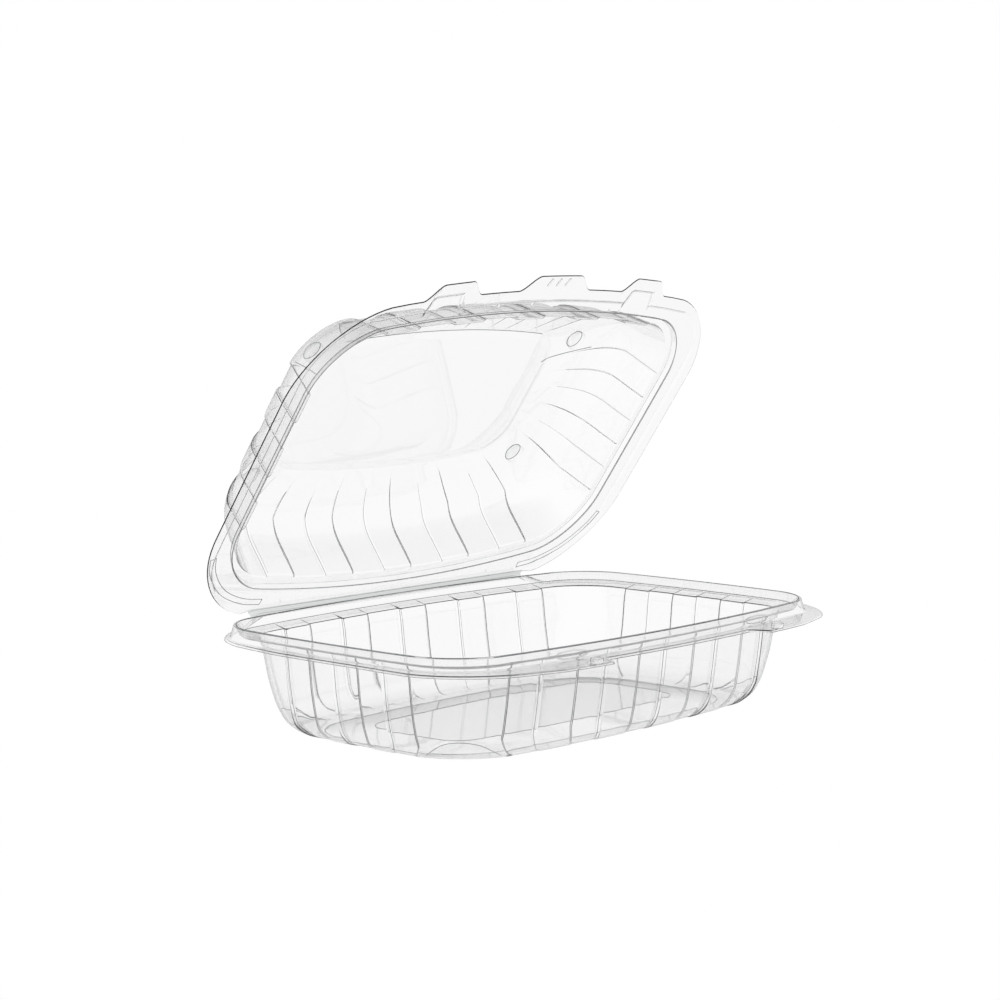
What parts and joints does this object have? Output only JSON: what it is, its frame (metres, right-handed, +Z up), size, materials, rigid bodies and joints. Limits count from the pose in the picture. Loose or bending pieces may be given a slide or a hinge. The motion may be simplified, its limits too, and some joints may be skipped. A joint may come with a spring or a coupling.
{
  "type": "hinged takeaway meal container",
  "caption": "Empty clear plastic takeaway container, a fluted tray with a domed lid on a living hinge, stood half open.",
  "frame": {"origin": "On the surface that the tray stands on, below the middle of the tray", "axes": "+Z up, +X along the hinge to the right seen from the front, +Y from the front latches to the hinge"},
  "size_m": [0.2288, 0.1627, 0.168],
  "materials": {
    "clear_sheet": "clear thermoformed polypropylene, glossy"
  },
  "bodies": {
    "base": {"tray": "clear_sheet"},
    "cover": {"lid": "clear_sheet"}
  },
  "joints": [
    {"name": "lid_hinge", "type": "hinge", "parent": "base", "child": "cover", "pos_m": [0, 0.072, 0.0403], "axis": [-1, 0, 0], "range_deg": [-55, 125]}
  ]
}
